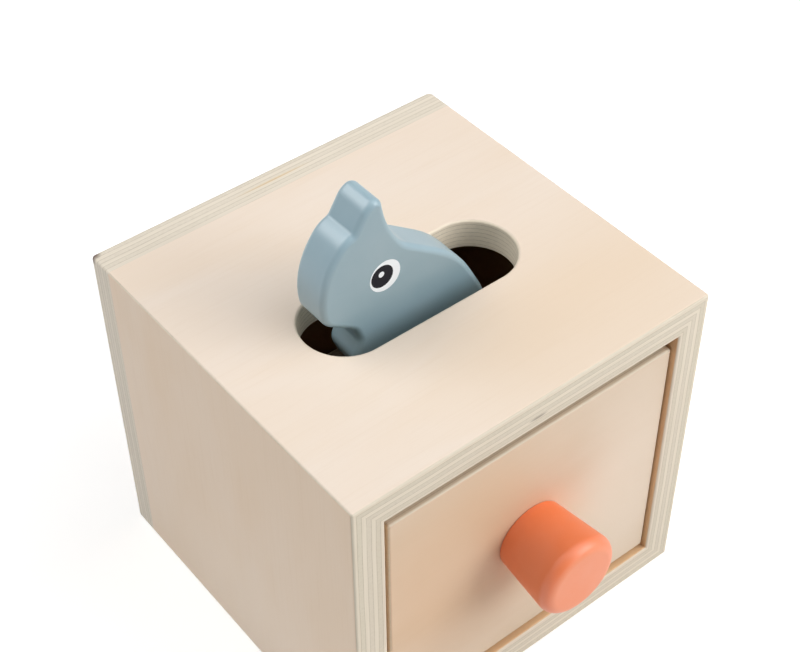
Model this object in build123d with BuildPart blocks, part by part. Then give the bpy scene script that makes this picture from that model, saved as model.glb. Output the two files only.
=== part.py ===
from build123d import *
import os

# Hide-and-seek box: a plywood cube with a drawer in front and a slot on top for a flat wooden animal.
# Millimetres, +Z up. The origin is the centre of the underside, and the drawer opens towards -Y.

# Carcass: four mitred panels make a tube that is open in front, and a fifth closes it behind
box_width = 120.0
box_depth = 118.3
box_height = 110.5
panel_thickness = 10.0
back_thickness = 10.0
edge_round = 0.8
under_edge_round = 0.5
back_edge_round = 2.5

# Toy animal, and its play in the slot and in the box
slot_from_front = 53.1
toy_thickness = 12.0
toy_edge_round = 1.8
toy_foot_round = 2.5
toy_peek = 40.5
toy_side_play = 6.9
toy_snout_play = 1.7
toy_rump_play = 11.8
toy_floor_gap = 1.0
toy_ceiling_gap = 1.0

# Drawer
front_thickness = 10.0
front_recess = 1.6
front_side_gap = 1.3
front_top_gap = 5.2
front_bottom_gap = 1.3
drawer_rests_right = 0.8
wall_thickness = 7.0
slide_gap = 0.3
drawer_back_gap = 1.5
floor_thickness = 3.0
floor_lip = 3.4
groove_depth = 3.0
groove_play = 0.1

# Knob, and the screw that holds it from inside the drawer
knob_foot_diameter = 21.9
knob_end_diameter = 26.4
knob_length = 21.0
knob_rim_round = 3.5
knob_foot_chamfer = 0.4
knob_rise = 1.7
insert_diameter = 7.0
insert_length = 12.0
insert_recess = 0.5
screw_diameter = 4.0
screw_reach = 9.0
screw_hole_play = 0.4
head_diameter = 7.6
head_height = 2.4
head_socket_width = 2.5
head_socket_depth = 1.3
washer_diameter = 10.0
washer_thickness = 1.0

# Beech dowels in the glued butt joints
carcass_dowel_diameter = 5.0
carcass_dowel_in_back = 6.0
carcass_dowel_in_panel = 11.0
carcass_dowel_inset = 26.0
drawer_dowel_diameter = 4.0
drawer_dowel_in_front = 6.0
drawer_dowel_in_wall = 13.0
drawer_dowel_cover = 2.5
drawer_dowel_edge = 4.5
dowel_end_room = 0.5
glue_film = 0.05

# Places that follow from these sizes
half_width = box_width / 2
inner_half_width = half_width - panel_thickness
ceiling_z = box_height - panel_thickness
front_y = -box_depth / 2
back_y = box_depth / 2
inner_back_y = back_y - back_thickness
tube_depth = inner_back_y - front_y


def upright(y):
    """A sketch plane that stands at y and is seen from the front: its x is X and its y is Z."""
    return Plane((0, y, 0), x_dir=(1, 0, 0), z_dir=(0, -1, 0))


# Toy outline, seen from the front: x across the animal, y up from its feet, and the round of each corner
toy_corners = [
    (-21.7, 54.0, 1.6),
    (-25.1, 52.8, 9.0),
    (-33.6, 41.6, 24.0),
    (-31.8, 28.6, 6.0),
    (-22.2, 22.1, 6.0),
    (-20.7, 17.5, 3.4),
    (-23.0, 11.9, 5.0),
    (-20.2, 4.9, 10.0),
    (-16.0, 0.0, toy_foot_round),
    (-9.5, 0.0, toy_foot_round),
    (-7.0, 6.5, 4.0),
    (2.0, 6.5, 4.0),
    (4.5, 0.0, toy_foot_round),
    (23.0, 0.0, toy_foot_round),
    (23.2, 9.3, 20.0),
    (13.1, 29.1, 38.0),
    (-5.8, 43.0, 13.0),
    (-11.1, 51.2, 30.0),
    (-12.9, 62.4, 2.5),
    (-17.7, 60.4, 6.0),
]

with BuildSketch() as toy_outline:
    with BuildLine():
        Polyline(*[(x, y) for x, y, corner_round in toy_corners], close=True)
    make_face()
    for x, y, corner_round in toy_corners:
        fillet(toy_outline.vertices().sort_by_distance((x, y))[0], corner_round)

toy_box = toy_outline.sketch.bounding_box()
toy_height = toy_box.max.Y

# Slot: as long and as wide as the animal with its play, with full round ends
slot_width = toy_thickness + 2 * toy_side_play
slot_left = toy_box.min.X - toy_snout_play
slot_right = toy_box.max.X + toy_rump_play
slot_x = (slot_left + slot_right) / 2
slot_y = front_y + slot_from_front

# At rest the animal peeks out of the slot, and at its lowest it hangs just under the top, clear of the drawer
toy_feet_z = box_height + toy_peek - toy_height
toy_lowest_feet_z = ceiling_z - toy_ceiling_gap - toy_height
wall_top_z = toy_lowest_feet_z - toy_floor_gap

with BuildPart() as toy_animal:
    with BuildSketch(upright(slot_y - toy_thickness / 2)):
        with Locations((0, toy_feet_z)):
            add(toy_outline.sketch)
    extrude(amount=-toy_thickness)
    fillet(toy_animal.faces().filter_by(Axis.Y).edges(), toy_edge_round)


# Carcass. The tube's edges are eased while it is whole, then it is cut into its four mitred panels
with BuildPart() as tube:
    with BuildSketch(upright(front_y)):
        with Locations((0, box_height / 2)):
            Rectangle(box_width, box_height)
            Rectangle(2 * inner_half_width, ceiling_z - panel_thickness, mode=Mode.SUBTRACT)
    extrude(amount=-tube_depth)
    corner_edges = tube.edges().filter_by(Axis.Y).filter_by(lambda edge: abs(edge.center().X) > inner_half_width + 1)
    fillet(corner_edges.sort_by(Axis.Z)[:2], under_edge_round)
    fillet(corner_edges.sort_by(Axis.Z)[2:], edge_round)
    fillet(tube.faces().sort_by(Axis.Y)[0].edges(), edge_round)


def mitred_panel(*corners):
    """The part of the tube that lies inside one mitred outline."""
    with BuildPart() as panel:
        add(tube.part)
        with BuildSketch(upright(front_y)):
            with BuildLine():
                Polyline(*corners, close=True)
            make_face()
        extrude(amount=-tube_depth, mode=Mode.INTERSECT)
    return panel.part


top_left, top_right = (-half_width, box_height), (half_width, box_height)
bottom_left, bottom_right = (-half_width, 0), (half_width, 0)
inner_top_left, inner_top_right = (-inner_half_width, ceiling_z), (inner_half_width, ceiling_z)
inner_bottom_left, inner_bottom_right = (-inner_half_width, panel_thickness), (inner_half_width, panel_thickness)

# The dowels of the back panel: two in the rear edge of each tube panel
middle_of_panel = panel_thickness / 2
dowel_x = half_width - carcass_dowel_inset
level_dowels = [(-dowel_x, middle_of_panel), (dowel_x, middle_of_panel)]
level_dowels += [(-dowel_x, box_height - middle_of_panel), (dowel_x, box_height - middle_of_panel)]
upright_dowels = [(-half_width + middle_of_panel, carcass_dowel_inset), (half_width - middle_of_panel, carcass_dowel_inset)]
upright_dowels += [(x, box_height - z) for x, z in upright_dowels]
carcass_dowel_places = level_dowels + upright_dowels

with BuildPart() as carcass_dowel_holes:
    with BuildSketch(upright(inner_back_y + carcass_dowel_in_back)):
        with Locations(*carcass_dowel_places):
            Circle(carcass_dowel_diameter / 2 + glue_film)
    extrude(amount=carcass_dowel_in_back + carcass_dowel_in_panel)

with BuildPart() as carcass_dowels:
    with BuildSketch(upright(inner_back_y + carcass_dowel_in_back - dowel_end_room)):
        with Locations(*carcass_dowel_places):
            Circle(carcass_dowel_diameter / 2)
    extrude(amount=carcass_dowel_in_back + carcass_dowel_in_panel - 2 * dowel_end_room)

with BuildPart() as top_panel:
    add(mitred_panel(top_left, top_right, inner_top_right, inner_top_left))
    with BuildSketch(Plane.XY.offset(ceiling_z)):
        with Locations((slot_x, slot_y)):
            SlotOverall(slot_right - slot_left, slot_width)
    extrude(amount=panel_thickness, mode=Mode.SUBTRACT)
    slot_edges = top_panel.edges().filter_by(lambda edge: slot_left - 1 < edge.bounding_box().min.X
                                             and edge.bounding_box().max.X < slot_right + 1
                                             and abs(edge.center().Y - slot_y) < slot_width / 2 + 1
                                             and edge.bounding_box().size.Z < 1)
    fillet(slot_edges, edge_round)
    add(carcass_dowel_holes.part, mode=Mode.SUBTRACT)

with BuildPart() as bottom_panel:
    add(mitred_panel(bottom_right, bottom_left, inner_bottom_left, inner_bottom_right))
    add(carcass_dowel_holes.part, mode=Mode.SUBTRACT)

with BuildPart() as left_panel:
    add(mitred_panel(bottom_left, top_left, inner_top_left, inner_bottom_left))
    add(carcass_dowel_holes.part, mode=Mode.SUBTRACT)

with BuildPart() as right_panel:
    add(mitred_panel(top_right, bottom_right, inner_bottom_right, inner_top_right))
    add(carcass_dowel_holes.part, mode=Mode.SUBTRACT)

with BuildPart() as back_panel:
    with BuildSketch(upright(back_y)):
        with Locations((0, box_height / 2)):
            Rectangle(box_width, box_height)
    extrude(amount=back_thickness)
    fillet(back_panel.edges().filter_by(Axis.Y).sort_by(Axis.Z)[:2], under_edge_round)
    fillet(back_panel.edges().filter_by(Axis.Y).sort_by(Axis.Z)[-2:], edge_round)
    fillet(back_panel.faces().sort_by(Axis.Y)[-1].edges(), back_edge_round)
    add(carcass_dowel_holes.part, mode=Mode.SUBTRACT)


# Drawer. Its front stands clear of the opening all round, and its walls slide on the bottom panel
front_face_y = front_y + front_recess
front_back_y = front_face_y + front_thickness
drawer_half_width = inner_half_width - front_side_gap
front_low_z = panel_thickness + front_bottom_gap
front_top_z = ceiling_z - front_top_gap
front_middle_z = (front_low_z + front_top_z) / 2
wall_low_z = panel_thickness + slide_gap
wall_height = wall_top_z - wall_low_z
drawer_back_y = inner_back_y - drawer_back_gap
wall_inner_x = drawer_half_width - wall_thickness
back_wall_y = drawer_back_y - wall_thickness
floor_z = front_low_z + floor_lip
knob_z = front_middle_z + knob_rise

floor_half_width = wall_inner_x + groove_depth
floor_front_y = front_back_y - groove_depth
floor_back_y = back_wall_y + groove_depth

with BuildPart() as floor_groove:
    with BuildSketch(Plane.XY.offset(floor_z - groove_play)):
        with Locations((0, (floor_front_y + floor_back_y) / 2)):
            Rectangle(2 * floor_half_width, floor_back_y - floor_front_y)
    extrude(amount=floor_thickness + 2 * groove_play)

with BuildPart() as drawer_floor:
    with BuildSketch(Plane.XY.offset(floor_z)):
        with Locations((0, (floor_front_y + floor_back_y) / 2)):
            Rectangle(2 * (floor_half_width - groove_play), floor_back_y - floor_front_y - 2 * groove_play)
    extrude(amount=floor_thickness)

# The drawer's dowels: two heights at each corner, above the floor's groove
dowel_heights = (floor_z + floor_thickness + drawer_dowel_edge, wall_top_z - drawer_dowel_edge)
wall_middle_x = drawer_half_width - wall_thickness / 2
front_joint_places = [(side * wall_middle_x, z) for side in (-1, 1) for z in dowel_heights]
back_joint_places = [(back_wall_y + wall_thickness / 2, z) for z in dowel_heights]
back_joint_length = wall_thickness - drawer_dowel_cover + drawer_dowel_in_wall


def drawer_pegs(radius, end_room):
    """Pegs along Y from the front into the walls, and along X from the walls into the back wall."""
    with BuildPart() as pegs:
        with BuildSketch(upright(front_back_y - drawer_dowel_in_front + end_room)):
            with Locations(*front_joint_places):
                Circle(radius)
        extrude(amount=-(drawer_dowel_in_front + drawer_dowel_in_wall - 2 * end_room))
        with BuildSketch(Plane.YZ.offset(drawer_half_width - drawer_dowel_cover - end_room)):
            with Locations(*back_joint_places):
                Circle(radius)
        extrude(amount=-(back_joint_length - 2 * end_room))
        mirror(about=Plane.YZ)
    return pegs.part


drawer_peg_holes = drawer_pegs(drawer_dowel_diameter / 2 + glue_film, 0)

with BuildPart() as drawer_dowels:
    add(drawer_pegs(drawer_dowel_diameter / 2, dowel_end_room))

with BuildPart() as drawer_front:
    with BuildSketch(upright(front_face_y)):
        with Locations((0, front_middle_z)):
            Rectangle(2 * drawer_half_width, front_top_z - front_low_z)
    extrude(amount=-front_thickness)
    fillet(drawer_front.edges().filter_by(Axis.Y), edge_round)
    fillet(drawer_front.faces().sort_by(Axis.Y)[0].edges(), edge_round)
    with BuildSketch(upright(front_face_y)):
        with Locations((0, knob_z)):
            Circle((screw_diameter + screw_hole_play) / 2)
    extrude(amount=-front_thickness, mode=Mode.SUBTRACT)
    add(floor_groove.part, mode=Mode.SUBTRACT)
    add(drawer_peg_holes, mode=Mode.SUBTRACT)

with BuildPart() as drawer_right_wall:
    with BuildSketch(Plane.XY.offset(wall_low_z)):
        with Locations((wall_middle_x, (front_back_y + drawer_back_y) / 2)):
            Rectangle(wall_thickness, drawer_back_y - front_back_y)
    extrude(amount=wall_height)
    fillet(drawer_right_wall.faces().sort_by(Axis.Z)[-1].edges().filter_by(Axis.Y), edge_round)
    add(floor_groove.part, mode=Mode.SUBTRACT)
    add(drawer_peg_holes, mode=Mode.SUBTRACT)

with BuildPart() as drawer_left_wall:
    add(drawer_right_wall.part.mirror(Plane.YZ))

with BuildPart() as drawer_back_wall:
    with BuildSketch(Plane.XY.offset(wall_low_z)):
        with Locations((0, (back_wall_y + drawer_back_y) / 2)):
            Rectangle(2 * wall_inner_x, wall_thickness)
    extrude(amount=wall_height)
    fillet(drawer_back_wall.faces().sort_by(Axis.Z)[-1].edges().filter_by(Axis.X), edge_round)
    add(floor_groove.part, mode=Mode.SUBTRACT)
    add(drawer_peg_holes, mode=Mode.SUBTRACT)


# Knob: a turned cone, wider at its outer end, on a brass insert and an M4 screw. Profiles are radius against reach
knob_foot = front_face_y
knob_hole_depth = insert_recess + insert_length + dowel_end_room
knob_axis = Axis((0, 0, knob_z), (0, 1, 0))

with BuildPart() as drawer_knob:
    with BuildSketch(Plane.XY.offset(knob_z)):
        with BuildLine():
            Polyline(
                (0, knob_foot),
                (knob_foot_diameter / 2, knob_foot),
                (knob_end_diameter / 2, knob_foot - knob_length),
                (0, knob_foot - knob_length),
                close=True,
            )
        make_face()
    revolve(axis=knob_axis)
    rims = drawer_knob.edges().filter_by(GeomType.CIRCLE).sort_by(Axis.Y)
    fillet(rims[0], knob_rim_round)
    chamfer(drawer_knob.edges().filter_by(GeomType.CIRCLE).sort_by(Axis.Y)[-1], knob_foot_chamfer)
    with BuildSketch(upright(knob_foot)):
        with Locations((0, knob_z)):
            Circle(insert_diameter / 2 + glue_film)
    extrude(amount=knob_hole_depth, mode=Mode.SUBTRACT)

with BuildPart() as knob_insert:
    with BuildSketch(upright(knob_foot - insert_recess)):
        with Locations((0, knob_z)):
            Circle(insert_diameter / 2)
            Circle(screw_diameter / 2 + glue_film, mode=Mode.SUBTRACT)
    extrude(amount=insert_length)

with BuildPart() as knob_washer:
    with BuildSketch(upright(front_back_y)):
        with Locations((0, knob_z)):
            Circle(washer_diameter / 2)
            Circle((screw_diameter + screw_hole_play) / 2, mode=Mode.SUBTRACT)
    extrude(amount=-washer_thickness)

head_y = front_back_y + washer_thickness

with BuildPart() as knob_screw:
    with BuildSketch(upright(head_y)):
        with Locations((0, knob_z)):
            Circle(head_diameter / 2)
    extrude(amount=-head_height)
    fillet(knob_screw.edges().filter_by(GeomType.CIRCLE).sort_by(Axis.Y)[-1], head_height / 3)
    with BuildSketch(upright(head_y)):
        with Locations((0, knob_z)):
            Circle(screw_diameter / 2)
    extrude(amount=head_y - knob_foot + screw_reach)
    with BuildSketch(upright(head_y + head_height)):
        with Locations((0, knob_z)):
            RegularPolygon(head_socket_width / 2, 6, major_radius=False)
    extrude(amount=head_socket_depth, mode=Mode.SUBTRACT)


# The drawer is modelled in the middle of its opening, and rests to the right by part of its side play
drawer_pieces = {
    "drawer_front": drawer_front,
    "drawer_left_wall": drawer_left_wall,
    "drawer_right_wall": drawer_right_wall,
    "drawer_back_wall": drawer_back_wall,
    "drawer_floor": drawer_floor,
    "drawer_dowels": drawer_dowels,
    "drawer_knob": drawer_knob,
    "knob_insert": knob_insert,
    "knob_washer": knob_washer,
    "knob_screw": knob_screw,
}
for piece in drawer_pieces.values():
    piece.part.move(Location((drawer_rests_right, 0, 0)))

pieces = {
    "top_panel": top_panel,
    "bottom_panel": bottom_panel,
    "left_panel": left_panel,
    "right_panel": right_panel,
    "back_panel": back_panel,
    "carcass_dowels": carcass_dowels,
    **drawer_pieces,
    "toy_animal": toy_animal,
}

os.makedirs("parts", exist_ok=True)
for name, piece in pieces.items():
    piece.part.label = name
    export_step(piece.part, f"parts/{name}.step")

print(f"slot {slot_left:.2f} to {slot_right:.2f} x {slot_width:.2f}, toy {toy_height:.2f} high, feet at {toy_feet_z:.2f}, "
      f"down to {toy_lowest_feet_z:.2f}, drawer walls up to {wall_top_z:.2f}")
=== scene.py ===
import math

import bmesh
import bpy
from mathutils import Matrix, Vector


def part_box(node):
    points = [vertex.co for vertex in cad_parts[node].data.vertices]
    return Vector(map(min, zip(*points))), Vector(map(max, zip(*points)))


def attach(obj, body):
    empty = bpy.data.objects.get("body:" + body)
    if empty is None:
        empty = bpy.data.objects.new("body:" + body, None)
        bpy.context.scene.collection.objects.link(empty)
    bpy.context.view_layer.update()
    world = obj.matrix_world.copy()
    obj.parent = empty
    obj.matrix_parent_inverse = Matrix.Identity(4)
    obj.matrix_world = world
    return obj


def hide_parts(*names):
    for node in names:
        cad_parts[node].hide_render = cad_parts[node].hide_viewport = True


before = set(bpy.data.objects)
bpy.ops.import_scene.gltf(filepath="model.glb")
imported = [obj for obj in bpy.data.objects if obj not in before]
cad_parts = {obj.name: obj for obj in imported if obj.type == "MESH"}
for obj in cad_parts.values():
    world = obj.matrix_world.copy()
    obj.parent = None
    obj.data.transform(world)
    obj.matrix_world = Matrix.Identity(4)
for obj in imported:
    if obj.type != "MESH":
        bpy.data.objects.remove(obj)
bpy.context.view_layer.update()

# Camera
# A long lens half a metre away looks down on the front left corner of the box, with the drawer to the right.
# It was matched to the photograph's straight edges, and its picture is centred, so it needs no shift.
camera_turn = math.radians(-38.23)
camera_height = math.radians(44.20)
camera_roll = math.radians(-0.58)
camera_data = bpy.data.cameras.new("camera")
camera_data.lens = 72.65
camera = bpy.data.objects.new("camera", camera_data)
camera.matrix_world = (
    Matrix.Translation((-0.19815, -0.25366, 0.40385))
    @ Matrix.Rotation(camera_turn, 4, "Z")
    @ Matrix.Rotation(math.pi / 2 - camera_height, 4, "X")
    @ Matrix.Rotation(camera_roll, 4, "Z")
)
bpy.context.scene.collection.objects.link(camera)
bpy.context.scene.camera = camera
bpy.context.scene.view_settings.view_transform = "Standard"


# Floor and studio
# The box stands on a plain white sheet under five softboxes, behind left, left, right, front right and above the
# front. None stands beside the camera, so the edges that face it stay a little darker, as in the photograph.
# To the camera and in reflections the sheet and the room are white, and only the box's own shadow tints the sheet.
# Far from the box, where the softboxes no longer reach, the sheet fades into the white room.
def add_node(tree, kind, inputs=None, **settings):
    """Adds a node with its settings, and sets or links its inputs."""
    node = tree.nodes.new(kind)
    for name, value in settings.items():
        setattr(node, name, value)
    for socket, value in (inputs or {}).items():
        if isinstance(value, bpy.types.NodeSocket):
            tree.links.new(value, node.inputs[socket])
        else:
            node.inputs[socket].default_value = value
    return node


def colour(hex_code):
    """The linear colour of an sRGB hex value."""
    shares = [int(hex_code[i:i + 2], 16) / 255 for i in (1, 3, 5)]
    return [s / 12.92 if s <= 0.04045 else ((s + 0.055) / 1.055) ** 2.4 for s in shares] + [1.0]


def seen_directly(tree):
    """1 for camera rays and for rays that a gloss or clear surface sends on, else 0."""
    path = add_node(tree, "ShaderNodeLightPath")
    either = add_node(tree, "ShaderNodeMath", {
        0: path.outputs["Is Camera Ray"], 1: path.outputs["Is Glossy Ray"]}, operation="MAXIMUM")
    any_of_three = add_node(tree, "ShaderNodeMath", {
        0: either.outputs[0], 1: path.outputs["Is Transmission Ray"]}, operation="MAXIMUM")
    return any_of_three.outputs[0]


floor_mesh = bmesh.new()
bmesh.ops.create_grid(floor_mesh, x_segments=1, y_segments=1, size=3.0)
floor_data = bpy.data.meshes.new("floor")
floor_mesh.to_mesh(floor_data)
floor_mesh.free()
floor = bpy.data.objects.new("floor", floor_data)
bpy.context.scene.collection.objects.link(floor)

paper = bpy.data.materials.new("white_paper_sheet")
paper.use_nodes = True
tree = paper.node_tree
tree.nodes.clear()
sheet = add_node(tree, "ShaderNodeBsdfDiffuse", {"Color": colour("#EDEDED")})
place = add_node(tree, "ShaderNodeTexCoord")
reach = add_node(tree, "ShaderNodeVectorMath", {0: place.outputs["Object"]}, operation="LENGTH")
fade = add_node(tree, "ShaderNodeMapRange", {
    "Value": reach.outputs["Value"], "From Min": 0.5, "From Max": 1.4, "To Min": 0.42, "To Max": 1.0})
lift = add_node(tree, "ShaderNodeMath", {0: seen_directly(tree), 1: fade.outputs[0]}, operation="MULTIPLY")
glow = add_node(tree, "ShaderNodeEmission", {"Color": colour("#FFFFFF"), "Strength": lift.outputs[0]})
both = add_node(tree, "ShaderNodeAddShader", {0: sheet.outputs[0], 1: glow.outputs[0]})
add_node(tree, "ShaderNodeOutputMaterial", {"Surface": both.outputs[0]})
floor_data.materials.append(paper)

room = bpy.data.worlds.new("pale_room")
bpy.context.scene.world = room
room.use_nodes = True
tree = room.node_tree
tree.nodes.clear()
room_light = 0.10
strength = add_node(tree, "ShaderNodeMapRange", {
    "Value": seen_directly(tree), "To Min": room_light, "To Max": 1.0})
backdrop = add_node(tree, "ShaderNodeBackground", {"Color": colour("#FFFFFF"), "Strength": strength.outputs[0]})
add_node(tree, "ShaderNodeOutputWorld", {"Surface": backdrop.outputs[0]})

for name, place, size, power in (
    ("softbox_behind_left", (-0.45, 0.68, 1.08), 0.80, 5.4),
    ("softbox_left", (-0.70, 0.45, 1.10), 1.20, 4.5),
    ("softbox_right", (0.90, -0.60, 0.70), 0.70, 1.5),
    ("softbox_front_right", (0.60, -0.90, 0.50), 0.70, 6.1),
    ("softbox_above_front", (0.35, -0.45, 1.10), 1.10, 6.0),
):
    lamp_data = bpy.data.lights.new(name, "AREA")
    lamp_data.size = size
    lamp_data.energy = power
    lamp = bpy.data.objects.new(name, lamp_data)
    to_box = Vector((0, 0, 0.06)) - Vector(place)
    lamp.matrix_world = Matrix.Translation(place) @ to_box.to_track_quat("-Z", "Y").to_matrix().to_4x4()
    bpy.context.scene.collection.objects.link(lamp)


# Top panel
# Birch plywood 10 mm thick: seven peeled veneers, the grain of each across the next, under a clear matt varnish.
# Its slot is routed right through and shows the plies round its wall, and its sides are cut to 45 degrees.
mm = 0.001
X, Y, Z = 0, 1, 2
half_width = 60.0
top = 110.5
front = -59.15
back = 59.15
sheet_thickness = 10.0


def birch_plywood(name, across, outer, inner, grain, plies=7, veneer=("#F3E4D5", "#F1DFCC"), inside="#8E6640",
                  face_marks=(), edge_marks=()):
    """Plywood as a solid pattern: across is the axis of its thickness, from its outer to its inner face in mm,
    grain is the axis of the face veneers' grain, and inside is the colour of the inner face, whose dark brown
    default is painted shade inside the box. Marks are knots, stains, warmer patches and patches of painted light
    on the faces or the edges, as (centre, radii, colour, strength)."""
    material = bpy.data.materials.new(name)
    material.use_nodes = True
    tree = material.node_tree
    tree.nodes.clear()
    third = 3 - across - grain
    source = add_node(tree, "ShaderNodeTexCoord")
    place = add_node(tree, "ShaderNodeVectorMath", {
        0: source.outputs["Object"], "Scale": 1 / mm}, operation="SCALE")
    split = add_node(tree, "ShaderNodeSeparateXYZ", {0: place.outputs[0]})

    def lay_stains_and_painted_light(tint, marks):
        """Lays the marks, which are stains, knots and patches of painted light, over a tint.
        Each is strongest at its centre and fades out at its radii.
        """
        for spot, radii, mark_tint, strength in marks:
            off = add_node(tree, "ShaderNodeVectorMath", {0: place.outputs[0], 1: spot}, operation="SUBTRACT")
            scaled = add_node(tree, "ShaderNodeVectorMath", {0: off.outputs[0], 1: radii}, operation="DIVIDE")
            away = add_node(tree, "ShaderNodeVectorMath", {0: scaled.outputs[0]}, operation="LENGTH")
            share = add_node(tree, "ShaderNodeMapRange", {
                "Value": away.outputs["Value"], "From Min": 1.0, "From Max": 0.2, "To Max": strength},
                interpolation_type="SMOOTHSTEP")
            tint = add_node(tree, "ShaderNodeMix", {
                "Factor": share.outputs[0], "A": tint, "B": colour(mark_tint)}, data_type="RGBA").outputs["Result"]
        return tint

    # Rotary-cut veneer is a little wavy, so the glue lines wander by a tenth of a millimetre
    wave = add_node(tree, "ShaderNodeTexNoise", {"Vector": place.outputs[0], "Scale": 0.04, "Detail": 2.0})
    drift = add_node(tree, "ShaderNodeMapRange", {"Value": wave.outputs[0], "From Min": 0.3, "From Max": 0.7,
                                                  "To Min": -0.12, "To Max": 0.12})
    level = add_node(tree, "ShaderNodeMath", {0: split.outputs[across], 1: drift.outputs[0]}, operation="ADD")
    depth = add_node(tree, "ShaderNodeMapRange", {"Value": level.outputs[0], "From Min": outer, "From Max": inner})

    # Plies: all of one thickness, by turns seen end on and along their fibres, so every other one is darker
    starts = [i / plies for i in range(plies)]
    tints = ["#E4D9C5", "#DAD0BC", "#E6DBC8", "#DCD1BE", "#E5DAC7", "#D9CEBA", "#E3D7C4"]
    ply_tint = add_node(tree, "ShaderNodeValToRGB", {0: depth.outputs[0]})
    end_on = add_node(tree, "ShaderNodeValToRGB", {0: depth.outputs[0]})
    for ramp, stops in ((ply_tint, [colour(tints[i % 7]) for i in range(plies)]),
                        (end_on, [[i % 2] * 3 + [1] for i in range(plies)])):
        band = ramp.color_ramp
        band.interpolation = "CONSTANT"
        while len(band.elements) < plies:
            band.elements.new(1.0)
        for element, start, stop in zip(band.elements, starts, stops):
            element.position = start
            element.color = stop

    # Fibres: streaks 0.9 mm wide and some 30 mm long, along the face grain and along the plies across it
    fibres = []
    for along in (grain, third):
        stretch = [1.1, 1.1, 1.1]
        stretch[along] = 0.035
        run = add_node(tree, "ShaderNodeVectorMath", {0: place.outputs[0], 1: stretch}, operation="MULTIPLY")
        fibres.append(add_node(tree, "ShaderNodeTexNoise", {"Vector": run.outputs[0], "Scale": 1.0, "Detail": 5.0,
                                                            "Roughness": 0.65, "Distortion": 0.25}).outputs[0])
    fibre = add_node(tree, "ShaderNodeMix", {"Factor": end_on.outputs[0], "A": fibres[0], "B": fibres[1]})

    # Face veneer: pinkish cream with soft broad clouds and the faint flames of rotary-cut birch
    cloud_run = [0.02, 0.02, 0.02]
    cloud_run[grain] = 0.008
    clouds = add_node(tree, "ShaderNodeVectorMath", {0: place.outputs[0], 1: cloud_run}, operation="MULTIPLY")
    cloud = add_node(tree, "ShaderNodeTexNoise", {
        "Vector": clouds.outputs[0], "Scale": 1.6, "Detail": 3.0, "Distortion": 0.6})
    cloud_share = add_node(tree, "ShaderNodeMapRange", {
        "Value": cloud.outputs[0], "From Min": 0.35, "From Max": 0.65})
    clouded = add_node(tree, "ShaderNodeMix", {
        "Factor": cloud_share.outputs[0], "A": colour(veneer[0]), "B": colour(veneer[1])}, data_type="RGBA")
    flame_share = add_node(tree, "ShaderNodeMapRange", {
        "Value": fibres[0], "From Min": 0.50, "From Max": 0.80, "To Max": 0.12})
    flamed = add_node(tree, "ShaderNodeMix", {
        "Factor": flame_share.outputs[0], "A": clouded.outputs["Result"], "B": colour("#D9BD9C")},
        data_type="RGBA")

    # Edges: the streaks and end pores stand out more, because sawn fibres take up the varnish
    pore_share = add_node(tree, "ShaderNodeMapRange", {
        "Value": fibre.outputs[0], "From Min": 0.40, "From Max": 0.75, "To Max": 0.16})
    sawn = add_node(tree, "ShaderNodeMix", {
        "Factor": pore_share.outputs[0], "A": lay_stains_and_painted_light(ply_tint.outputs[0], edge_marks), "B": colour("#A8977E")},
        data_type="RGBA")

    # Glue lines: a tenth of a millimetre of darker resin between the plies, broken by the saw
    ply = add_node(tree, "ShaderNodeMath", {0: depth.outputs[0], 1: float(plies)}, operation="MULTIPLY")
    to_glue = add_node(tree, "ShaderNodeMath", {0: ply.outputs[0], 1: 0.5}, operation="PINGPONG")
    in_glue = add_node(tree, "ShaderNodeMapRange", {
        "Value": to_glue.outputs[0], "From Min": 0.10, "From Max": 0.03, "To Max": 0.7})
    glue_share = add_node(tree, "ShaderNodeMath", {
        0: in_glue.outputs[0], 1: fibre.outputs[0]}, operation="MULTIPLY")
    glued = add_node(tree, "ShaderNodeMix", {
        "Factor": glue_share.outputs[0], "A": sawn.outputs["Result"], "B": colour("#93805F")}, data_type="RGBA")

    # Painted light: the inner faces are tan for 4 mm round the front opening and fade 10 mm further in to the
    # inside colour, which on the carcass is painted shade
    painted_light_fade = add_node(tree, "ShaderNodeMapRange", {
        "Value": split.outputs[Y], "From Min": front + 4.0, "From Max": front + 14.0})
    painted_light_and_shade_tint = add_node(tree, "ShaderNodeMix", {
        "Factor": painted_light_fade.outputs[0], "A": colour("#E4BE93"), "B": colour(inside)}, data_type="RGBA")
    is_inner = add_node(tree, "ShaderNodeMath", {0: depth.outputs[0], 1: 0.5}, operation="GREATER_THAN")
    face_tint = add_node(tree, "ShaderNodeMix", {
        "Factor": is_inner.outputs[0], "A": flamed.outputs["Result"], "B": painted_light_and_shade_tint.outputs["Result"]},
        data_type="RGBA")

    # Where the surface faces along the thickness it is veneer, else the plies' edges
    facing = add_node(tree, "ShaderNodeSeparateXYZ", {0: source.outputs["Normal"]})
    square_on = add_node(tree, "ShaderNodeMath", {0: facing.outputs[across]}, operation="ABSOLUTE")
    is_face = add_node(tree, "ShaderNodeMapRange", {
        "Value": square_on.outputs[0], "From Min": 0.75, "From Max": 0.95})
    tint = add_node(tree, "ShaderNodeMix", {
        "Factor": is_face.outputs[0], "A": glued.outputs["Result"],
        "B": lay_stains_and_painted_light(face_tint.outputs["Result"], face_marks)}, data_type="RGBA")

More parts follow.
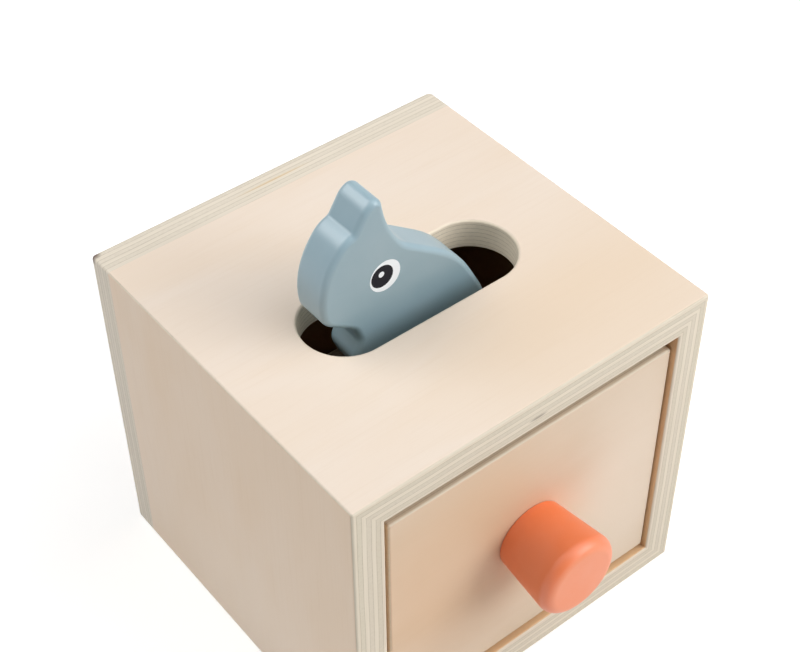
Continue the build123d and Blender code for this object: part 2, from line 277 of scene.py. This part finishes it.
    gloss = add_node(tree, "ShaderNodeMapRange", {"Value": fibre.outputs[0], "To Min": 0.42, "To Max": 0.62})
    relief = add_node(tree, "ShaderNodeBump", {
        "Height": fibre.outputs[0], "Strength": 0.12, "Distance": 0.05 * mm})
    wood = add_node(tree, "ShaderNodeBsdfPrincipled", {
        "Base Color": tint.outputs["Result"], "Roughness": gloss.outputs[0], "Normal": relief.outputs[0],
        "Specular IOR Level": 0.4})
    add_node(tree, "ShaderNodeOutputMaterial", {"Surface": wood.outputs[0]})
    return material


def finish_node(node, material):
    """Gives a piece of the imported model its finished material."""
    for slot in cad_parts[node].material_slots:
        slot.material = material


finish_node("top_panel", birch_plywood("top_birch_plywood", Z, top, top - sheet_thickness, X, face_marks=[
    ((34.0, -44.0, top), (74.0, 42.0, 20.0), "#EBD2B4", 0.5),
], edge_marks=[
    # Painted light: this pale cream patch brightens the slot's wall, and more faintly the mitred sides
    ((0.1, -6.05, 105.5), (80.0, 48.0, 40.0), "#FFEFD8", 1.0),
    ((-0.9, front, 104.1), (4.0, 2.0, 0.7), "#6E5C48", 0.6),
]))


# Bottom panel and side panels
# The same sheet, mitred to the top, with the grain running round the four of them.
# They are glued at 45 degrees, so that the plies turn each corner at the front.
finish_node("bottom_panel", birch_plywood("bottom_birch_plywood", Z, 0.0, sheet_thickness, X))
finish_node("left_panel", birch_plywood("left_birch_plywood", X, -half_width, sheet_thickness - half_width, Z,
                                        veneer=("#F6E1CB", "#F3DBC1"), face_marks=[
    # Painted light: this pale patch lightens the lower part of the left face
    ((-half_width, -5.0, 10.0), (20.0, 75.0, 60.0), "#FCEBD8", 0.5),
]))
finish_node("right_panel", birch_plywood("right_birch_plywood", X, half_width, half_width - sheet_thickness, Z))


# Back panel
# A fifth piece of the sheet, glued and dowelled on the rear edges of the other four, with its outer edges rounded.
# Its upper left corner shows a small dark knot, and an amber gum streak lies in its upper edge.
finish_node("back_panel", birch_plywood("back_birch_plywood", Y, back, back - sheet_thickness, X, edge_marks=[
    ((-half_width, back - 5.0, top), (400.0, 30.0, 400.0), "#F3E9DA", 0.5),
    ((-half_width + 0.8, back - 1.5, top - 0.8), (2.6, 2.4, 2.2), "#4E2A20", 1.0),
    ((-2.0, 53.5, top), (16.0, 0.6, 1.0), "#E6C48C", 0.6),
]))


# Carcass dowels and drawer dowels
# Turned beech pegs in the glued joints. They show only when the box is taken apart.
def beech(name, grain):
    """Beech with short darker flecks along its grain."""
    material = bpy.data.materials.new(name)
    material.use_nodes = True
    tree = material.node_tree
    tree.nodes.clear()
    source = add_node(tree, "ShaderNodeTexCoord")
    stretch = [1.6 / mm] * 3
    stretch[grain] = 0.12 / mm
    run = add_node(tree, "ShaderNodeVectorMath", {0: source.outputs["Object"], 1: stretch}, operation="MULTIPLY")
    fleck = add_node(tree, "ShaderNodeTexNoise", {"Vector": run.outputs[0], "Scale": 1.0, "Detail": 4.0})
    tint = add_node(tree, "ShaderNodeMix", {
        "Factor": fleck.outputs[0], "A": colour("#D2AC80"), "B": colour("#B98C5E")}, data_type="RGBA")
    relief = add_node(tree, "ShaderNodeBump", {
        "Height": fleck.outputs[0], "Strength": 0.15, "Distance": 0.05 * mm})
    wood = add_node(tree, "ShaderNodeBsdfPrincipled", {
        "Base Color": tint.outputs["Result"], "Roughness": 0.6, "Normal": relief.outputs[0]})
    add_node(tree, "ShaderNodeOutputMaterial", {"Surface": wood.outputs[0]})
    return material


finish_node("carcass_dowels", beech("turned_beech", Y))
finish_node("drawer_dowels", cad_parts["carcass_dowels"].material_slots[0].material)


# Drawer front
# The same 10 mm birch plywood, cut a little smaller than the opening and set back by 1.6 mm.
# Its grain runs across, and its sanded edges catch the light as a thin pale line.
raw_birch = "#E6CFAE"
drawer_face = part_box("drawer_front")[0].y / mm
drawer_inner = drawer_face + sheet_thickness
finish_node("drawer_front", birch_plywood("drawer_front_birch_plywood", Y, drawer_face, drawer_inner, X,
                                          veneer=("#DFCBB4", "#D9C3A9"), inside=raw_birch, face_marks=[
    ((-24.0, drawer_face, 62.0), (56.0, 20.0, 60.0), "#DDB48C", 0.6),
    ((40.0, drawer_face, 48.0), (34.0, 20.0, 56.0), "#EFDFCD", 0.6),
]))


# Drawer walls and floor
# Three walls of 7 mm birch plywood dowelled to the front, round a 3 mm plywood floor in a groove.
# They are left raw, and are hidden until the drawer is pulled out.
for node, side in (("drawer_left_wall", -1), ("drawer_right_wall", 1)):
    low, high = [corner.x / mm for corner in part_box(node)]
    outer, inner = (low, high) if side < 0 else (high, low)
    finish_node(node, birch_plywood(node + "_birch_plywood", X, outer, inner, Y, plies=5, inside=raw_birch))
low, high = [corner.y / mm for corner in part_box("drawer_back_wall")]
finish_node("drawer_back_wall", birch_plywood("drawer_back_birch_plywood", Y, high, low, X,
                                              plies=5, inside=raw_birch))
low, high = [corner.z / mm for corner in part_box("drawer_floor")]
finish_node("drawer_floor", birch_plywood("drawer_floor_birch_plywood", Z, low, high, X,
                                          plies=3, inside=raw_birch))


# Knob
# A cone turned from beech, wider at its outer end, with a full round at the rim and a small chamfer at its foot.
# It is sprayed with a satin orange paint, whose paler colour on its end face is painted sheen,
# and an M4 screw holds it from inside the drawer.
def satin_paint(name, faces, sides, stretch, relief_depth, roughness):
    """Water-based satin paint: faces is its colour on the flat sanded faces across Y, sides its colour on the cut
    sides, and stretch, in waves per mm, sets the direction of the cutter's marks
    under it, which are relief_depth mm deep."""
    material = bpy.data.materials.new(name)
    material.use_nodes = True
    tree = material.node_tree
    tree.nodes.clear()
    source = add_node(tree, "ShaderNodeTexCoord")
    place = add_node(tree, "ShaderNodeVectorMath", {
        0: source.outputs["Object"], "Scale": 1 / mm}, operation="SCALE")
    run = add_node(tree, "ShaderNodeVectorMath", {0: place.outputs[0], 1: stretch}, operation="MULTIPLY")
    tool_marks = add_node(tree, "ShaderNodeTexNoise", {
        "Vector": run.outputs[0], "Scale": 1.0, "Detail": 3.0, "Roughness": 0.5})
    mist = add_node(tree, "ShaderNodeTexNoise", {"Vector": place.outputs[0], "Scale": 2.2, "Detail": 2.0})
    cloud = add_node(tree, "ShaderNodeTexNoise", {"Vector": place.outputs[0], "Scale": 0.06, "Detail": 3.0})
    facing = add_node(tree, "ShaderNodeSeparateXYZ", {0: source.outputs["Normal"]})
    square_on = add_node(tree, "ShaderNodeMath", {0: facing.outputs[Y]}, operation="ABSOLUTE")
    face_share = add_node(tree, "ShaderNodeMapRange", {
        "Value": square_on.outputs[0], "From Min": 0.75, "From Max": 0.98})
    body = add_node(tree, "ShaderNodeMix", {
        "Factor": face_share.outputs[0], "A": colour(sides), "B": colour(faces)}, data_type="RGBA")
    thin_share = add_node(tree, "ShaderNodeMapRange", {
        "Value": cloud.outputs[0], "From Min": 0.35, "From Max": 0.7, "To Max": 0.05})
    tint = add_node(tree, "ShaderNodeMix", {
        "Factor": thin_share.outputs[0], "A": body.outputs["Result"], "B": colour("#FFFFFF")}, data_type="RGBA")
    peel = add_node(tree, "ShaderNodeBump", {"Height": mist.outputs[0], "Strength": 0.10, "Distance": 0.04 * mm})
    marks = add_node(tree, "ShaderNodeBump", {
        "Height": tool_marks.outputs[0], "Strength": 0.6, "Distance": relief_depth * mm,
        "Normal": peel.outputs[0]})
    gloss = add_node(tree, "ShaderNodeMapRange", {
        "Value": mist.outputs[0], "To Min": roughness - 0.05, "To Max": roughness + 0.05})
    paint = add_node(tree, "ShaderNodeBsdfPrincipled", {
        "Base Color": tint.outputs["Result"], "Roughness": gloss.outputs[0], "Normal": marks.outputs[0],
        "Specular IOR Level": 0.9})
    add_node(tree, "ShaderNodeOutputMaterial", {"Surface": paint.outputs[0]})
    return material


weld = 0.01 * mm


def new_piece(name, mesh, material, body):
    """Makes a piece of the finished mesh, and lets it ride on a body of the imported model."""
    bmesh.ops.remove_doubles(mesh, verts=mesh.verts, dist=weld)
    bmesh.ops.recalc_face_normals(mesh, faces=mesh.faces)
    for face in mesh.faces:
        face.smooth = True
    data = bpy.data.meshes.new(name)
    mesh.to_mesh(data)
    mesh.free()
    data.materials.append(material)
    piece = bpy.data.objects.new(name, data)
    bpy.context.scene.collection.objects.link(piece)
    piece.modifiers.new("flats_stay_flat", "WEIGHTED_NORMAL").keep_sharp = True
    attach(piece, body)
    return piece


foot_radius = 21.9 / 2 * mm
end_radius = 26.4 / 2 * mm
knob_length = 21.0 * mm
rim_round = 3.5 * mm
foot_chamfer = 0.4 * mm
knob_facets = 128
knob_low, knob_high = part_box("drawer_knob")
knob_foot = Vector(((knob_low.x + knob_high.x) / 2, knob_high.y, (knob_low.z + knob_high.z) / 2))
cone_angle = math.atan2(end_radius - foot_radius, knob_length)
rim_corner = math.pi / 2 - cone_angle

knob_mesh = bmesh.new()
profile = [knob_mesh.verts.new(knob_foot + Vector((radius, -reach, 0))) for radius, reach in
           ((0, 0), (foot_radius, 0), (end_radius, knob_length), (0, knob_length))]
sides = [knob_mesh.edges.new(pair) for pair in zip(profile, profile[1:])]
bmesh.ops.spin(knob_mesh, geom=profile + sides, cent=knob_foot, axis=(0, 1, 0), angle=2 * math.pi,
               steps=knob_facets, use_merge=True)
bmesh.ops.remove_doubles(knob_mesh, verts=knob_mesh.verts, dist=1e-7)


def ring_at(mesh, y, radius, centre):
    """The edges of the ring at a given y and radius round a centre line along Y."""
    return [edge for edge in mesh.edges if all(
        abs(vert.co.y - y) < 1e-6 and abs(math.hypot(vert.co.x - centre.x, vert.co.z - centre.z) - radius) < 1e-6
        for vert in edge.verts)]


bmesh.ops.bevel(knob_mesh, geom=ring_at(knob_mesh, knob_foot.y - knob_length, end_radius, knob_foot),
                offset=rim_round / math.tan(rim_corner / 2), segments=12, profile=0.5, affect="EDGES", material=-1)
bmesh.ops.bevel(knob_mesh, geom=ring_at(knob_mesh, knob_foot.y, foot_radius, knob_foot),
                offset=foot_chamfer, segments=3, profile=0.5, affect="EDGES", material=-1)
# The paler faces colour falls on the knob's end face and paints the sheen of the front light there
orange = satin_paint("satin_orange_paint_and_sheen", "#F38957", "#F57B3F", (0.5, 1.6, 0.5), 0.006, 0.40)
knob = new_piece("painted_knob", knob_mesh, orange, "drawer")
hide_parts("drawer_knob")


# Knob's screw, washer and insert
# A zinc-plated M4 cap screw and washer inside the drawer, and a turned brass insert pressed into the knob.
# Their machining leaves fine marks that spread the reflections.
def turned_metal(name, tint, roughness):
    """Bare metal with fine marks round its turned axis."""
    material = bpy.data.materials.new(name)
    material.use_nodes = True
    tree = material.node_tree
    tree.nodes.clear()
    source = add_node(tree, "ShaderNodeTexCoord")
    run = add_node(tree, "ShaderNodeVectorMath", {
        0: source.outputs["Object"], 1: (1 / mm, 6 / mm, 1 / mm)}, operation="MULTIPLY")
    lines = add_node(tree, "ShaderNodeTexNoise", {"Vector": run.outputs[0], "Scale": 1.5, "Detail": 3.0})
    gloss = add_node(tree, "ShaderNodeMapRange", {
        "Value": lines.outputs[0], "To Min": roughness - 0.08, "To Max": roughness + 0.08})
    relief = add_node(tree, "ShaderNodeBump", {
        "Height": lines.outputs[0], "Strength": 0.2, "Distance": 0.02 * mm})
    metal = add_node(tree, "ShaderNodeBsdfPrincipled", {
        "Base Color": colour(tint), "Metallic": 1.0, "Roughness": gloss.outputs[0], "Normal": relief.outputs[0]})
    add_node(tree, "ShaderNodeOutputMaterial", {"Surface": metal.outputs[0]})
    return material


finish_node("knob_screw", turned_metal("zinc_plated_steel", "#C9CBCE", 0.32))
finish_node("knob_washer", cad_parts["knob_screw"].material_slots[0].material)
finish_node("knob_insert", turned_metal("turned_brass", "#D6B36A", 0.30))


# Animal
# A 12 mm board routed to the animal's outline, with both faces' edges rounded, and sprayed a satin blue-grey.
# The router leaves faint marks across its narrow side, which streak the light there.
# Each corner of the outline is its X from the slot's middle, its height above the feet and its round, in mm.
toy_corners = [
    (-21.7, 54.0, 1.6),
    (-25.1, 52.8, 9.0),
    (-33.6, 41.6, 24.0),
    (-31.8, 28.6, 6.0),
    (-22.2, 22.1, 6.0),
    (-20.7, 17.5, 3.4),
    (-23.0, 11.9, 5.0),
    (-20.2, 4.9, 10.0),
    (-16.0, 0.0, 2.5),
    (-9.5, 0.0, 2.5),
    (-7.0, 6.5, 4.0),
    (2.0, 6.5, 4.0),
    (4.5, 0.0, 2.5),
    (23.0, 0.0, 2.5),
    (23.2, 9.3, 20.0),
    (13.1, 29.1, 38.0),
    (-5.8, 43.0, 13.0),
    (-11.1, 51.2, 30.0),
    (-12.9, 62.4, 2.5),
    (-17.7, 60.4, 6.0),
]
degrees_per_facet = 5
toy_low, toy_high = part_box("toy_animal")
edge_round = 1.8 * mm
face_y = toy_low.y

toy_mesh = bmesh.new()
arc_ends = []
for i, (x, z, corner_round) in enumerate(toy_corners):
    corner = Vector((x, 0, z))
    to_last, to_next = [(Vector((other[0], 0, other[1])) - corner).normalized()
                        for other in (toy_corners[i - 1], toy_corners[(i + 1) % len(toy_corners)])]
    half_angle = to_last.angle(to_next) / 2
    start = corner + to_last * corner_round / math.tan(half_angle)
    centre = corner + (to_last + to_next).normalized() * corner_round / math.sin(half_angle)
    turn = math.copysign(math.pi - 2 * half_angle, to_next.cross(to_last).y)
    foot_of_board = Vector((0, face_y, toy_low.z))
    first = toy_mesh.verts.new(start * mm + foot_of_board)
    arc = bmesh.ops.spin(toy_mesh, geom=[first], cent=centre * mm + foot_of_board, axis=(0, 1, 0), angle=turn,
                         steps=max(4, round(math.degrees(abs(turn)) / degrees_per_facet)))
    arc_ends.append((first, arc["geom_last"][0]))
for (first, last), (following, _) in zip(arc_ends, arc_ends[1:] + arc_ends[:1]):
    toy_mesh.edges.new((last, following))
bmesh.ops.remove_doubles(toy_mesh, verts=toy_mesh.verts, dist=weld)
bmesh.ops.edgeloop_fill(toy_mesh, edges=toy_mesh.edges[:])
board = bmesh.ops.extrude_face_region(toy_mesh, geom=toy_mesh.faces[:])
far_side = [v for v in board["geom"] if isinstance(v, bmesh.types.BMVert)]
bmesh.ops.translate(toy_mesh, vec=(0, toy_high.y - toy_low.y, 0), verts=far_side)
rims = [edge for edge in toy_mesh.edges if abs(edge.verts[0].co.y - edge.verts[1].co.y) < 1e-7]
bmesh.ops.bevel(toy_mesh, geom=rims, offset=edge_round, segments=6, profile=0.5, affect="EDGES", material=-1)
blue_grey = satin_paint("satin_blue_grey_paint", "#8DA9B5", "#92AFBB", (0.9, 0.06, 0.9), 0.012, 0.33)
animal = new_piece("painted_animal", toy_mesh, blue_grey, "animal")
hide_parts("toy_animal")


# Animal's eyes
# A white disc, a dark pupil set towards the snout and a white glint, printed on each face in thick ink.
# Each layer stands 0.03 mm proud of the one below.
def printed_ink(name, tint, gloss_level):
    """Thick satin ink with a slight grain."""
    material = bpy.data.materials.new(name)
    material.use_nodes = True
    tree = material.node_tree
    tree.nodes.clear()
    source = add_node(tree, "ShaderNodeTexCoord")
    grain = add_node(tree, "ShaderNodeTexNoise", {
        "Vector": source.outputs["Object"], "Scale": 3.0 / mm, "Detail": 2.0})
    gloss = add_node(tree, "ShaderNodeMapRange", {"Value": grain.outputs[0], "To Min": 0.35, "To Max": 0.50})
    relief = add_node(tree, "ShaderNodeBump", {"Height": grain.outputs[0], "Strength": 0.1, "Distance": 0.02 * mm})
    ink = add_node(tree, "ShaderNodeBsdfPrincipled", {
        "Base Color": colour(tint), "Roughness": gloss.outputs[0], "Normal": relief.outputs[0],
        "Specular IOR Level": gloss_level})
    add_node(tree, "ShaderNodeOutputMaterial", {"Surface": ink.outputs[0]})
    return material


white_ink = printed_ink("white_ink", "#F4FAFF", 0.5)
dark_ink = printed_ink("dark_ink", "#1E1F27", 0.12)
ink_layer = 0.03 * mm
eye_facets = 96
for face, y, out in (("front", toy_low.y, -1), ("back", toy_high.y, 1)):
    for layer, (part, x, z, radius, ink) in enumerate((
        ("white", -12.50, top + 15.06, 4.92, white_ink),
        ("pupil", -13.46, top + 15.35, 3.52, dark_ink),
        ("glint", -13.73, top + 16.17, 0.90, white_ink),
    )):
        eye_mesh = bmesh.new()
        bmesh.ops.create_circle(eye_mesh, cap_ends=True, segments=eye_facets, radius=radius * mm)
        bmesh.ops.rotate(eye_mesh, verts=eye_mesh.verts, matrix=Matrix.Rotation(math.pi / 2, 3, "X"))
        raised = bmesh.ops.extrude_face_region(eye_mesh, geom=eye_mesh.faces[:])
        lifted = [v for v in raised["geom"] if isinstance(v, bmesh.types.BMVert)]
        bmesh.ops.translate(eye_mesh, vec=(0, out * ink_layer * (layer + 1.5), 0), verts=lifted)
        bmesh.ops.translate(eye_mesh, vec=(x * mm, y - out * ink_layer / 2, z * mm), verts=eye_mesh.verts)
        new_piece(f"eye_{part}_{face}", eye_mesh, ink, "animal")
